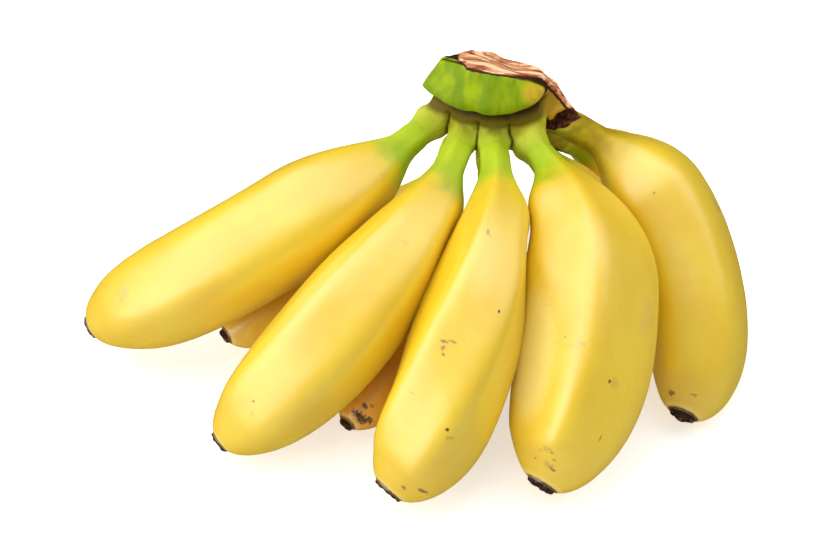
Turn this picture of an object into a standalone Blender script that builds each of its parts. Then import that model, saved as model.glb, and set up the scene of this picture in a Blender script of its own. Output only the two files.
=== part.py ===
"""A small hand of bananas: nine fruits in two rows on one green crown, grown as a single piece.

Metres, +Z up. The fruits point towards -Y and curl down to the surface, the crown stands
at the back, and the hand rests on small flat spots under its low fruits. The origin is on
the surface, below the middle of the hand's box.
"""
import math
from collections import namedtuple

import bmesh
import bpy
from mathutils import Matrix, Vector

# Finishes: name, linear colour and roughness.
PEEL, GREEN, DRIED = range(3)
LOOKS = (
    ("yellow_peel", (0.83, 0.60, 0.09), 0.42),
    ("green_stalk", (0.34, 0.47, 0.03), 0.42),
    ("dried_brown", (0.07, 0.03, 0.015), 0.80),
)

# The stalks stand side by side on an arc, in an upper and a lower row.
ARC_RADIUS = 0.030
UPPER_ROOT_HEIGHT = 0.052
LOWER_ROOT_HEIGHT = 0.0345
LOWER_ROOT_SETBACK = 0.011
# Inside the crown every stalk starts part of the way to this point, a little slimmer.
CROWN_CORE = Vector((0.0, 0.014, 0.047))
TOWARDS_CORE = 0.35
START_SLIMNESS = 0.80

# Every fruit has the same run along its length: a slim stalk, a shoulder, a body and a blunt tip.
# The shares are of a fruit's length.
STALK_RADIUS = 0.00385
STALK_SHARE = 0.125
SHOULDER_POWER = 1.25
TIP_STARTS = 0.62
TIP_FULLNESS = 0.965
FLOWER_END_LENGTH = 0.0014
FLOWER_END_TAPER = 0.82

# The five soft ridges of the peel.
RIDGES = 5
RIDGE_SHARPNESS = 6.0
SIDES = 15

# The upper fruits curl over and down, the lower ones first drop and then level out.
UPPER_PULL = Vector((-0.65, -0.10, -1.0))
LOWER_PULL = Vector((-1.0, -0.60, 0.80))
UPPER_NECK_CURL = 0.10
LOWER_NECK_CURL = 1.00
NECK_CURL_START = 0.05
UPPER_NECK_CURL_SPAN = 0.45
LOWER_NECK_CURL_SPAN = 0.50

# root: place of the stalk on the arc, in degrees to the right of its middle
# heading: where the stalk points, in degrees to the right of -Y; dip: how far it points down
# curl: the whole turn from stalk to tip; lean: how far the curl leans out of its row's pull
# shoulder: share of the length over which the stalk widens to the full body
# ridge: place of one ridge round the fruit, in degrees from the inside of the curl
Fruit = namedtuple("Fruit", "row root heading dip curl lean length radius shoulder ridge")
FRUITS = (
    Fruit("upper", -40.5, -37, -8, 78, -21, 0.1220, 0.0154, 0.30, 31),
    Fruit("upper", -21.5, -13, -14, 91, -6, 0.1200, 0.0156, 0.50, 22),
    Fruit("upper", -7.0, 7, -17, 92, 5, 0.1130, 0.0150, 0.55, 22),
    Fruit("upper", 11.0, 36, -2, 80, -17, 0.1055, 0.0177, 0.35, 20),
    Fruit("upper", 36.5, 67, 11, 82, -38, 0.0965, 0.0142, 0.23, 20),
    Fruit("lower", -24.5, -35, 48, 52, 6, 0.0945, 0.0128, 0.20, 20),
    Fruit("lower", -6.0, 7, 40, 55, 10, 0.0990, 0.0128, 0.43, 20),
    Fruit("lower", 15.0, 74, 40, 90, 13, 0.0810, 0.0128, 0.31, 20),
    Fruit("lower", 32.5, 116, 41, 81, -56, 0.0805, 0.0128, 0.36, 20),
)
# A middle line has this many steps, the solid has a ring of corners at some of them,
# and the stalk is green up to one of them.
STEPS = 40
RING_STEPS = (0, 3, 5, 7, 9, 11, 13, 16, 20, 24, 28, 31, 33, 35, 37, 38, 39, 40)
GREEN_STEPS = 6

# The crown's outlines are drawn across the arc, as (outward, up) points.
BLOCK_OUTLINE = (
    (0.0005, 0.0595), (0.0012, 0.0540), (0.0002, 0.0490), (-0.0040, 0.0430), (-0.0080, 0.0375),
    (-0.0120, 0.0320), (-0.0170, 0.0300), (-0.0215, 0.0380), (-0.0240, 0.0500), (-0.0240, 0.0660),
    (-0.0140, 0.0760), (-0.0060, 0.0750), (-0.0030, 0.0645),
)
BLOCK_CENTRE = (-0.004, 0.053)
CUSHION_OUTLINE = (
    (0.0022, 0.0625), (0.0034, 0.0645), (0.0026, 0.0675), (-0.0001, 0.0705), (-0.0056, 0.0745),
    (-0.0146, 0.0780), (-0.0186, 0.0680), (-0.0106, 0.0610), (-0.0016, 0.0608),
)
CUSHION_CENTRE = (-0.0086, 0.066)
# First and last degree on the arc, size of both ends beside the middle, and number of sections.
BLOCK_REACH = (-42, 47, 0.80, 0.84, 10)
CUSHION_REACH = (-54, 27, 0.58, 0.38, 12)
# Where the crown ends: a point, the direction that the face looks, and its finish.
# The knife left the long top face and the short right one, the left end is grown skin.
CUTS = (
    ((0.000, 0.0085, 0.0707), (0.148, 0.629, 0.777), DRIED),
    ((0.011, 0.0120, 0.0687), (0.776, 0.414, 0.490), DRIED),
    ((-0.0197, 0.0140, 0.0641), (-0.788, 0.430, 0.450), GREEN),
)

# How deep the surface flattens the low fruits, and the sharpest edge that is shaded smooth.
REST_DEPTH = 0.0008
SMOOTH_BELOW = math.radians(40)
ON_PLANE = 1e-7


def smoothstep(x):
    """Goes from 0 to 1 with level ends."""
    x = min(max(x, 0.0), 1.0)
    return x * x * (3.0 - 2.0 * x)


def body_radius(fruit, along):
    """Radius of a fruit at a share of its length: stalk, shoulder, body and rounded tip."""
    widening = min(max((along - STALK_SHARE) / fruit.shoulder, 0.0), 1.0)
    shoulder = math.sin(math.pi * widening / 2) ** SHOULDER_POWER
    radius = STALK_RADIUS + (fruit.radius - STALK_RADIUS) * shoulder
    closing = max((along - TIP_STARTS) / (1 - TIP_STARTS), 0.0) * TIP_FULLNESS
    return radius * math.sqrt(1 - closing ** 2)


def ridged(angle):
    """Relative radius of the five-ridged section at an angle from one of its ridges."""
    total = 0.0
    for flat in range(RIDGES):
        towards_flat = math.cos(angle - (flat + 0.5) * math.tau / RIDGES)
        total += max(towards_flat, 0.0) ** RIDGE_SHARPNESS
    return total ** (-1 / RIDGE_SHARPNESS)


MEAN_RIDGED = sum(ridged(math.tau * i / 360) for i in range(360)) / 360


def centreline(fruit):
    """Points of a fruit's middle line from root to tip, each with its frame."""
    upper = fruit.row == "upper"
    root = math.radians(fruit.root)
    setback = ARC_RADIUS * (1 - math.cos(root)) + (0.0 if upper else LOWER_ROOT_SETBACK)
    height = UPPER_ROOT_HEIGHT if upper else LOWER_ROOT_HEIGHT
    point = Vector((ARC_RADIUS * math.sin(root), setback, height))
    heading = math.radians(fruit.heading)
    dip = math.radians(fruit.dip)
    out = Vector((math.sin(heading) * math.cos(dip), -math.cos(heading) * math.cos(dip), -math.sin(dip)))
    pull = UPPER_PULL if upper else LOWER_PULL
    inside = (pull - out * pull.dot(out)).normalized()
    inside = Matrix.Rotation(math.radians(fruit.lean), 3, out) @ inside
    across = out.cross(inside)
    share = UPPER_NECK_CURL if upper else LOWER_NECK_CURL
    span = UPPER_NECK_CURL_SPAN if upper else LOWER_NECK_CURL_SPAN
    places = []
    for step in range(STEPS + 1):
        along = step / STEPS
        turned = (1 - share) * along + share * smoothstep((along - NECK_CURL_START) / span)
        angle = math.radians(fruit.curl) * turned
        tangent = out * math.cos(angle) + inside * math.sin(angle)
        if places:
            point = point + (tangent + places[-1][1]) * (fruit.length / STEPS / 2)
        places.append((point, tangent, inside * math.cos(angle) - out * math.sin(angle), across))
    return places


def section(place, radius, ridge, shift=0.0):
    """Corners of the ridged section round a place of a middle line."""
    point, tangent, inside, across = place
    corners = []
    for side in range(SIDES):
        angle = math.tau * side / SIDES
        reach = radius * ridged(angle) / MEAN_RIDGED
        turn = angle + math.radians(ridge)
        corners.append(point + tangent * shift + (inside * math.cos(turn) + across * math.sin(turn)) * reach)
    return corners


def skin(name, sections, slots, materials):
    """A closed solid that runs through sections of equally many corners."""
    mesh = bpy.data.meshes.new(name)
    shape = bmesh.new()
    number = shape.verts.layers.int.new("corner")
    start = bmesh.ops.create_circle(shape, segments=len(sections[0]), radius=1.0)["verts"]
    for index, corner in enumerate(start):
        corner[number] = index
        corner.co = sections[0][index]
    loop = list(shape.edges)
    for corners, slot in zip(sections[1:], slots):
        grown = bmesh.ops.extrude_edge_only(shape, edges=loop)["geom"]
        for corner in (item for item in grown if isinstance(item, bmesh.types.BMVert)):
            corner.co = corners[corner[number]]
            for face in corner.link_faces:
                face.material_index = slot
        loop = [item for item in grown if isinstance(item, bmesh.types.BMEdge) and item.is_boundary]
    for face in bmesh.ops.holes_fill(shape, edges=shape.edges)["faces"]:
        face.material_index = slots[-1]
    bmesh.ops.recalc_face_normals(shape, faces=shape.faces)
    shape.to_mesh(mesh)
    shape.free()
    for material in materials:
        mesh.materials.append(material)
    made = bpy.data.objects.new(name, mesh)
    bpy.context.scene.collection.objects.link(made)
    return made


def fruit_solid(name, fruit, materials):
    """One fruit: its stalk from inside the crown, its five-ridged body and its dried flower end."""
    places = centreline(fruit)
    root = places[0][0]
    start = (root.lerp(CROWN_CORE, TOWARDS_CORE), *places[0][1:])
    sections = [section(start, STALK_RADIUS * START_SLIMNESS, fruit.ridge)]
    slots = []
    for step in RING_STEPS:
        sections.append(section(places[step], body_radius(fruit, step / STEPS), fruit.ridge))
        slots.append(GREEN if step < GREEN_STEPS else PEEL)
    tip_radius = body_radius(fruit, 1.0)
    sections.append(section(places[-1], tip_radius * FLOWER_END_TAPER, fruit.ridge, FLOWER_END_LENGTH))
    slots.append(DRIED)
    return skin(name, sections, slots, materials)


def arc_section(outline, degrees, scale, centre):
    """An outline of (outward, up) points, scaled about a centre and stood on the crown's arc."""
    turn = math.radians(degrees)
    corners = []
    for outward, up in outline:
        reach = ARC_RADIUS + centre[0] + (outward - centre[0]) * scale
        height = centre[1] + (up - centre[1]) * scale
        corners.append(Vector((reach * math.sin(turn), ARC_RADIUS - reach * math.cos(turn), height)))
    return corners


def arc_solid(name, outline, centre, first, last, first_scale, last_scale, stations, materials):
    """A block that follows the crown's arc and draws in towards both ends."""
    sections = []
    for station in range(stations):
        share = station / (stations - 1)
        degrees = first + (last - first) * share
        end_scale = first_scale if share < 0.5 else last_scale
        scale = math.sqrt(1 - (1 - end_scale ** 2) * (2 * share - 1) ** 2)
        sections.append(arc_section(outline, degrees, scale, centre))
    return skin(name, sections, [GREEN] * (stations - 1), materials)


def bisect(made, point, normal, slot):
    """Takes off what stands past a plane and closes the cut with flat faces."""
    shape = bmesh.new()
    shape.from_mesh(made.data)
    parts = shape.verts[:] + shape.edges[:] + shape.faces[:]
    bmesh.ops.bisect_plane(
        shape, geom=parts, dist=ON_PLANE, plane_co=point, plane_no=normal, clear_outer=True
    )
    for face in bmesh.ops.holes_fill(shape, edges=shape.edges)["faces"]:
        face.material_index = slot
    bmesh.ops.recalc_face_normals(shape, faces=shape.faces)
    shape.to_mesh(made.data)
    shape.free()


def fuse(made, others):
    """Joins other solids to one by a Boolean union on their collection, and removes them."""
    group = bpy.data.collections.new("joined")
    bpy.context.scene.collection.children.link(group)
    for other in others:
        group.objects.link(other)
    union = made.modifiers.new("union", "BOOLEAN")
    union.operation = "UNION"
    union.operand_type = "COLLECTION"
    union.collection = group
    union.solver = "EXACT"
    seen = made.evaluated_get(bpy.context.evaluated_depsgraph_get())
    fused = bpy.data.meshes.new_from_object(seen)
    made.modifiers.remove(union)
    made.data = fused
    for other in others:
        bpy.data.objects.remove(other)
    bpy.data.collections.remove(group)


def finish_material(name, colour, roughness):
    """A plain material in linear colour."""
    material = bpy.data.materials.new(name)
    material.use_nodes = True
    shader = material.node_tree.nodes["Principled BSDF"]
    shader.inputs["Base Color"].default_value = (*colour, 1.0)
    shader.inputs["Roughness"].default_value = roughness
    shader.inputs["Metallic"].default_value = 0.0
    return material


def crown_solid(materials):
    """The crown: a block under the stalks, the cushion with its lip over them, and two flat cuts."""
    block = arc_solid("crown", BLOCK_OUTLINE, BLOCK_CENTRE, *BLOCK_REACH, materials=materials)
    cushion = arc_solid("cushion", CUSHION_OUTLINE, CUSHION_CENTRE, *CUSHION_REACH, materials=materials)
    fuse(block, [cushion])
    for point, normal, slot in CUTS:
        bisect(block, point, normal, slot)
    return block


def stand_on_spots(made):
    """Moves the hand over its origin and flattens the undersides that it rests on."""
    corners = [Vector(corner) for corner in made.bound_box]
    low = Vector(map(min, *corners))
    high = Vector(map(max, *corners))
    middle = (low + high) / 2
    made.data.transform(Matrix.Translation((-middle.x, -middle.y, -REST_DEPTH)))
    bisect(made, (0, 0, 0), (0, 0, -1), PEEL)


def build():
    """Clears the scene and makes the hand."""
    for old in list(bpy.data.objects):
        bpy.data.objects.remove(old)
    materials = [finish_material(*look) for look in LOOKS]
    crown = crown_solid(materials)
    fruits = [fruit_solid(f"fruit_{i + 1}", fruit, materials) for i, fruit in enumerate(FRUITS)]
    fuse(crown, fruits)
    crown.name = "banana_hand"
    stand_on_spots(crown)
    crown.data.shade_smooth()
    crown.data.set_sharp_from_angle(angle=SMOOTH_BELOW)


build()
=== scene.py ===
"""The looks of a small hand of bananas: ripe peels, green stalks and crown, a dried cut and flower ends."""
import math
from collections import namedtuple

import bmesh
import bpy
from mathutils import Matrix, Vector, noise
from mathutils.bvhtree import BVHTree
from mathutils.kdtree import KDTree


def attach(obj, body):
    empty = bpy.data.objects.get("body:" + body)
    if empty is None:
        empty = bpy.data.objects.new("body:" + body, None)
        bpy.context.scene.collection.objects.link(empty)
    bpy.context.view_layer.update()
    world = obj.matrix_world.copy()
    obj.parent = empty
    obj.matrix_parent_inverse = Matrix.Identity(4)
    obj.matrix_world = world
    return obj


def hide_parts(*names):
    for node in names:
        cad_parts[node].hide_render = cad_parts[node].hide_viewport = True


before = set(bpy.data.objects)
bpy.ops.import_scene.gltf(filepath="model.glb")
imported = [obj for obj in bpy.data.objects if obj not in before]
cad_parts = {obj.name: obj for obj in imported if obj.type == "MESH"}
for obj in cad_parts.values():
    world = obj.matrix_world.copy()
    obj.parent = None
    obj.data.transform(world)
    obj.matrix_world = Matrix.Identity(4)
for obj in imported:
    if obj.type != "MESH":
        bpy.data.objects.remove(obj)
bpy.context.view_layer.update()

# Where the hand's own drawing frame lies, in metres, the arc from which its stalks grow, and the core
# of the crown, towards which the slimmer starts of the stalks draw in.
HAND_AT = Vector((0.02457, 0.03299, -0.0008))
ARC_RADIUS = 0.030
CROWN_CORE = Vector((0.0, 0.014, 0.047))
TOWARDS_CORE = 0.35
START_SLIMNESS = 0.80

# The outline of a fruit, mostly as shares of its length.
STALK_RADIUS = 0.0041
SHOULDER_POWER = 1.1
SHOULDER_EASE = 0.022
TIP_STARTS = 0.62
TIP_FULLNESS = 0.985
TIP_LIFTS_FROM = 0.86
NECK_CURL_START = 0.05
RIDGES = 5
TWIST_ABOUT = 0.55

# The two rows: how high and how far behind the arc their roots lie, in which direction their fruits
# curl, how much of the curl is in the neck and over what share of the length.
Row = namedtuple("Row", "height setback pull neck_curl neck_span")
UPPER = Row(0.052, 0.0, Vector((-0.65, -0.10, -1.0)), 0.10, 0.45)
LOWER = Row(0.0345, 0.011, Vector((-1.0, -0.60, 0.80)), 1.00, 0.50)

# root, heading, dip, curl, lean, ridge, twist and lift are in degrees, length and radius in metres.
# stalk is the share of the length where the stalk ends and shoulder the share over which it widens.
# A fruit with high edges has crisp ridges, and one with a high blunt value keeps its width until
# near the tip. lift is how far the tip turns back, towards the direction of lifts_to degrees round.
Fruit = namedtuple("Fruit", "name row root heading dip curl lean length radius "
                            "stalk shoulder ridge twist edges blunt lift lifts_to")
FRUITS = (
    Fruit("upper_1", UPPER, -40.5, -37, -8, 78, -21, 0.1225, 0.0154, 0.125, 0.30, 31, 20, 5.5, 2.3, 28, 190),
    Fruit("upper_2", UPPER, -21.5, -13, -14, 91, -6, 0.1218, 0.0155, 0.140, 0.46, 22, 30, 6.5, 2.2, 32, 205),
    Fruit("upper_3", UPPER, -7.0, 7, -17, 92, 5, 0.1150, 0.0150, 0.145, 0.50, 22, 85, 8.5, 2.6, 34, 222),
    Fruit("upper_4", UPPER, 11.0, 36, -2, 80, -17, 0.1080, 0.0177, 0.125, 0.35, 20, 40, 9.0, 2.2, 22, 246),
    Fruit("upper_5", UPPER, 36.5, 67, 11, 82, -38, 0.0985, 0.0142, 0.120, 0.23, 20, 0, 5.0, 2.5, 21, 292),
    Fruit("lower_1", LOWER, -24.5, -35, 48, 52, 6, 0.0945, 0.0128, 0.125, 0.20, 20, 20, 6.0, 2.0, 0, 0),
    Fruit("lower_2", LOWER, -6.0, 7, 40, 55, 10, 0.1000, 0.0128, 0.125, 0.43, 20, -20, 6.0, 2.0, 0, 0),
    Fruit("lower_3", LOWER, 15.0, 74, 40, 90, 13, 0.0810, 0.0128, 0.125, 0.31, 20, 30, 6.0, 2.0, 0, 0),
    Fruit("lower_4", LOWER, 32.5, 116, 41, 81, -56, 0.0805, 0.0128, 0.125, 0.36, 20, -30, 6.0, 2.0, 0, 0),
)
STEPS = 160
SIDES = 60

# The crown's outlines across its arc, as (outward, up) points, and the points towards which they draw in.
# A reach gives the first and the last degrees on the arc and the outline's scale at these two ends.
BLOCK_OUTLINE = (
    (0.0005, 0.0595), (0.0010, 0.0555), (-0.0004, 0.0512), (-0.0042, 0.0455), (-0.0080, 0.0385),
    (-0.0120, 0.0320), (-0.0170, 0.0300), (-0.0215, 0.0380), (-0.0240, 0.0500), (-0.0240, 0.0660),
    (-0.0140, 0.0760), (-0.0060, 0.0750), (-0.0030, 0.0645),
)
BLOCK_CENTRE = (-0.004, 0.053)
BLOCK_REACH = (-45, 47, 0.82, 0.84)
CUSHION_OUTLINE = (
    (0.0022, 0.0643), (0.0034, 0.0659), (0.0027, 0.0681), (-0.0001, 0.0705), (-0.0056, 0.0745),
    (-0.0146, 0.0780), (-0.0186, 0.0680), (-0.0106, 0.0625), (-0.0016, 0.0625),
)
CUSHION_CENTRE = (-0.0086, 0.066)
CUSHION_REACH = (-54, 27, 0.82, 0.38)
CROWN_STATIONS = 36

# Where the crown was cut, as a point and the direction that faces out, in the hand's drawing frame.
TOP_CUT = (Vector((0.000, 0.0085, 0.0707)), Vector((0.148, 0.629, 0.777)).normalized())
SIDE_CUT = (Vector((0.0102, 0.0116, 0.0683)), Vector((0.776, 0.414, 0.490)).normalized())
LEFT_END = (Vector((-0.0206, 0.0136, 0.0648)), Vector((-0.788, 0.430, 0.450)).normalized())


def smoothstep(x):
    """Goes from 0 to 1 with level ends."""
    x = min(max(x, 0.0), 1.0)
    return x * x * (3.0 - 2.0 * x)


def above(value, level, width):
    """Goes smoothly from 0 to 1 while a value rises past a level, over a width."""
    return smoothstep((value - level) / width)


def below(value, level, width):
    """Goes smoothly from 0 to 1 while a value falls past a level, over a width."""
    return smoothstep((level - value) / width)


def bell(x, width):
    """A soft bump of height 1 at zero."""
    return math.exp(-(x / width) ** 2)


def linear(red, green, blue):
    """A colour given as it looks on a screen, from 0 to 255, as a shader wants it."""
    levels = (red, green, blue)
    return tuple((c / 255 / 12.92 if c < 10 else ((c / 255 + 0.055) / 1.055) ** 2.4) for c in levels)


def body_radius(fruit, along):
    """Radius of a fruit at a share of its length: stalk, shoulder, body and rounded tip."""
    past = along - fruit.stalk
    eased = (past + math.sqrt(past * past + SHOULDER_EASE ** 2)) / 2
    shoulder = math.sin(math.pi * min(eased / fruit.shoulder, 1.0) / 2) ** SHOULDER_POWER
    radius = STALK_RADIUS + (fruit.radius - STALK_RADIUS) * shoulder
    closing = max((along - TIP_STARTS) / (1 - TIP_STARTS), 0.0) * TIP_FULLNESS
    return radius * (1 - closing ** fruit.blunt) ** (1 / fruit.blunt)


def ridged(edges):
    """Relative radii round a five-ridged section, with a mean of 1."""
    radii = []
    for side in range(SIDES):
        total = 0.0
        for flat in range(RIDGES):
            towards_flat = math.cos(math.tau * (side / SIDES - (flat + 0.5) / RIDGES))
            total += max(towards_flat, 0.0) ** edges
        radii.append(total ** (-1 / edges))
    mean = sum(radii) / SIDES
    return [radius / mean for radius in radii]


SECTIONS = [ridged(fruit.edges) for fruit in FRUITS]


def centreline(fruit):
    """Places of a fruit's middle line from root to tip: point, tangent, inside of the curl, across."""
    root = math.radians(fruit.root)
    setback = ARC_RADIUS * (1 - math.cos(root)) + fruit.row.setback
    point = HAND_AT + Vector((ARC_RADIUS * math.sin(root), setback, fruit.row.height))
    heading = math.radians(fruit.heading)
    dip = math.radians(fruit.dip)
    out = Vector((math.sin(heading) * math.cos(dip), -math.cos(heading) * math.cos(dip), -math.sin(dip)))
    pull = fruit.row.pull
    inside = (pull - out * pull.dot(out)).normalized()
    inside = Matrix.Rotation(math.radians(fruit.lean), 3, out) @ inside
    across = out.cross(inside)
    share = fruit.row.neck_curl
    lifts_to = math.radians(fruit.lifts_to)
    places = []
    for step in range(STEPS + 1):
        along = step / STEPS
        curled = (1 - share) * along + share * above(along, NECK_CURL_START, fruit.row.neck_span)
        angle = math.radians(fruit.curl) * curled
        tangent = out * math.cos(angle) + inside * math.sin(angle)
        inward = inside * math.cos(angle) - out * math.sin(angle)
        axis = tangent.cross(inward * math.cos(lifts_to) + across * math.sin(lifts_to))
        lifted = fruit.lift * above(along, TIP_LIFTS_FROM, 1 - TIP_LIFTS_FROM)
        lift = Matrix.Rotation(math.radians(lifted), 3, axis)
        tangent = lift @ tangent
        if places:
            point = point + (tangent + places[-1][1]) * (fruit.length / STEPS / 2)
        places.append((point, tangent, lift @ inward, lift @ across))
    return places


MIDDLE_LINES = [centreline(fruit) for fruit in FRUITS]

# Swellings of the bodies beside their shoulders: fruit, share of the length, degrees round it,
# height in metres, and how far they spread along and round it.
SWELLINGS = (
    (0, 0.20, 74, 0.0013, 0.07, 50),
    (1, 0.225, 88, 0.0026, 0.065, 50),
    (2, 0.255, 96, 0.0029, 0.060, 50),
    (3, 0.205, 300, 0.0029, 0.070, 55),
    (3, 0.80, 300, 0.0012, 0.20, 55),
    (3, 0.93, 288, 0.0010, 0.08, 50),
    (2, 0.86, 100, 0.0014, 0.14, 55),
    (4, 0.85, 160, 0.0010, 0.12, 55),
    (1, 0.88, 264, 0.0004, 0.12, 55),
)

# The growth of a peel: soft hollows and bumps, and ridges that fade at the tip.
SOFT_RELIEF = 0.00026
SOFT_RELIEF_SCALE = 55.0
FINE_RELIEF = 0.00006
FINE_RELIEF_SCALE = 260.0
RIDGES_FADE_FROM = 0.82
RIDGES_FADE_BY = 0.7
STALK_RELIEF = 0.25
RELIEF_GROWS_OVER = 0.2

# The straightened fruits stand this far apart in their patterns.
STRAIGHT_APART = 0.2

# What comes nearer to the surface below the hand than this is pressed softly flat.
LEVEL_WITHIN = 0.0007

# Dried flower end, outwards from the peel: shift along the fruit in metres, share of the tip's radius.
# Its first rings are still peel, and it is ragged where the share is below a level.
FLOWER_END = (
    (0.0001, 0.995), (0.0001, 0.965), (0.0003, 0.985), (0.0006, 0.960), (0.0008, 0.880),
    (0.0006, 0.770), (0.0003, 0.640), (0.0002, 0.480), (0.0005, 0.340), (0.0007, 0.200), (0.0006, 0.080),
)
FLOWER_END_PEEL_RINGS = 3
FLOWER_END_RAGGED = 0.0004
FLOWER_END_RAGGED_SCALE = 700
FLOWER_END_RAGGED_BELOW = (0.99, 0.04)


def swelling(index, along, degrees):
    """Extra radius of a fruit beside its shoulder or near its tip."""
    total = 0.0
    for fruit, middle, round_at, height, spread, turn in SWELLINGS:
        if fruit == index:
            apart = (degrees - round_at + 180) % 360 - 180
            total += height * bell(along - middle, spread) * bell(apart, turn)
    return total


def turned(fruit, along, angle):
    """Direction in which a spot of the section lies, with the ridges winding along the fruit."""
    return angle + math.radians(fruit.ridge + fruit.twist * (along - TWIST_ABOUT))


def straight(index, along, angle, reach):
    """The same spot on the fruit laid straight, each fruit at a place of its own, for patterns."""
    fruit = FRUITS[index]
    turn = turned(fruit, along, angle)
    place = STRAIGHT_APART * index
    return Vector((reach * math.cos(turn) + place, reach * math.sin(turn), along * fruit.length))


def skin_reach(index, along, side):
    """Distance of the skin from the middle line, before its fine relief."""
    fruit = FRUITS[index]
    ridge_depth = 1.0 - RIDGES_FADE_BY * above(along, RIDGES_FADE_FROM, 1 - RIDGES_FADE_FROM)
    reach = body_radius(fruit, along) * (1 + (SECTIONS[index][side % SIDES] - 1) * ridge_depth)
    return reach + swelling(index, along, side * 360 / SIDES)


def ring(index, along, step, swell=1.0):
    """Corners of one ring of a fruit and their spots on the straightened fruit."""
    fruit = FRUITS[index]
    point, _, inside, across = MIDDLE_LINES[index][step]
    relief = above(along, fruit.stalk, RELIEF_GROWS_OVER) * (1 - STALK_RELIEF) + STALK_RELIEF
    corners = []
    for side in range(SIDES):
        angle = math.tau * side / SIDES
        reach = skin_reach(index, along, side) * swell
        spot = straight(index, along, angle, reach)
        reach += SOFT_RELIEF * relief * noise.noise(spot * SOFT_RELIEF_SCALE)
        reach += FINE_RELIEF * relief * noise.noise(spot * FINE_RELIEF_SCALE)
        turn = turned(fruit, along, angle)
        corners.append((point + (inside * math.cos(turn) + across * math.sin(turn)) * reach, spot))
    return corners


def flower_end_ring(index, shift, share):
    """Corners of one ragged ring of the dried flower end."""
    fruit = FRUITS[index]
    point, tangent, inside, across = MIDDLE_LINES[index][STEPS]
    corners = []
    for side in range(SIDES):
        angle = math.tau * side / SIDES
        radius = skin_reach(index, 1.0, side) * share
        spot = straight(index, 1.0 + shift, angle, radius)
        loose = below(share, *FLOWER_END_RAGGED_BELOW)
        ragged = FLOWER_END_RAGGED * noise.noise(spot * FLOWER_END_RAGGED_SCALE) * loose
        turn = turned(fruit, 1.0, angle)
        out = inside * math.cos(turn) + across * math.sin(turn)
        corners.append((point + tangent * (shift + ragged) + out * (radius + ragged * 0.5), spot))
    return corners


def laid_level(corner):
    """Presses what would sink into the surface softly flat against it."""
    if corner.z < LEVEL_WITHIN:
        corner = corner.copy()
        corner.z = LEVEL_WITHIN * math.exp((corner.z - LEVEL_WITHIN) / LEVEL_WITHIN)
    return corner


def skin(name, rings, slots, alongs):
    """A closed piece through rings of corners, with where each corner lies along the straight fruit."""
    shape = bmesh.new()
    number = shape.verts.layers.int.new("corner")
    along_layer = shape.verts.layers.float.new("along")
    straight_layer = shape.verts.layers.float_vector.new("straight")
    fresh = bmesh.ops.create_circle(shape, segments=len(rings[0]), radius=1.0)["verts"]
    for index, corner in enumerate(fresh):
        corner[number] = index
    loop = list(shape.edges)
    for count, (corners, slot, along) in enumerate(zip(rings, slots, alongs)):
        if count:
            grown = bmesh.ops.extrude_edge_only(shape, edges=loop)["geom"]
            fresh = [item for item in grown if isinstance(item, bmesh.types.BMVert)]
            loop = [item for item in grown if isinstance(item, bmesh.types.BMEdge) and item.is_boundary]
        for corner in fresh:
            place, spot = corners[corner[number]]
            corner.co = laid_level(place)
            corner[along_layer] = along
            corner[straight_layer] = spot
            for face in corner.link_faces:
                face.material_index = slot
    caps = bmesh.ops.holes_fill(shape, edges=shape.edges)["faces"]
    for face in caps:
        face.material_index = slots[-1]
    bmesh.ops.poke(shape, faces=caps)
    bmesh.ops.recalc_face_normals(shape, faces=shape.faces)
    shape.verts.layers.int.remove(number)
    return finished(name, shape)


def finished(name, shape):
    """Makes a smooth-shaded object of a shape."""
    mesh = bpy.data.meshes.new(name)
    shape.to_mesh(mesh)
    shape.free()
    mesh.shade_smooth()
    made = bpy.data.objects.new(name, mesh)
    bpy.context.scene.collection.objects.link(made)
    return made


def fruit_piece(index):
    """One fruit from inside the crown to its dried flower end."""
    fruit = FRUITS[index]
    steps = range(round((STUB_SHARES[index] - STUB_COVERS) * STEPS), STEPS + 1)
    alongs = [step / STEPS for step in steps]
    rings = []
    for along, step in zip(alongs, steps):
        covered = 1 - above(along, alongs[0], START_RISES_OVER)
        rings.append(ring(index, along, step, 1 - START_COVERED * covered))
    slots = [0] * (len(rings) + FLOWER_END_PEEL_RINGS)
    slots += [1] * (len(FLOWER_END) - FLOWER_END_PEEL_RINGS)
    for shift, share in FLOWER_END:
        rings.append(flower_end_ring(index, shift, share))
        alongs.append(1.0 + shift)
    piece = skin("fruit_" + fruit.name, rings, slots, alongs)
    greenness(piece, [index] * len(piece.data.vertices))
    return piece


# Share of the length at which the green of each stalk has given way to yellow, and over what share it
# does so. One stalk leaves the crown below its side cut, and is dull and olive up to its shoulder.
GREEN_ENDS = (0.240, 0.250, 0.245, 0.205, 0.120, 0.22, 0.22, 0.22, 0.22)
GREEN_FADES = 0.085
END_STALK = 4
DULL_FADES = (0.10, 0.16)


def greenness(piece, owners):
    """Stores how green and how dull the stalk is at each corner, from its share of the fruit's length."""
    for name in ("green", "dull"):
        piece.data.attributes.new(name, "FLOAT", "POINT")
    alongs, green, dull = (piece.data.attributes[name].data for name in ("along", "green", "dull"))
    for corner, owner in enumerate(owners):
        along = alongs[corner].value
        green[corner].value = min(max((GREEN_ENDS[owner] - along) / GREEN_FADES, -1.0), 2.0)
        dull[corner].value = 1 - above(along, *DULL_FADES) if owner == END_STALK else 0.0


# Stubs of the stalks that are modelled with the crown, so that they flow into it. As shares of the
# length: how far each stub goes, over what it dives, how much it covers of the fruit's start and over
# what that start rises. As shares of the radius: how deep the stub dives and how deep the start lies.
STUB_SHARES = (0.085, 0.085, 0.085, 0.085, 0.130, 0.085, 0.085, 0.085, 0.085)
STUB_DIVES = 0.028
STUB_DIVES_BY = 0.08
STUB_COVERS = 0.038
START_COVERED = 0.12
START_RISES_OVER = 0.022

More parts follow.
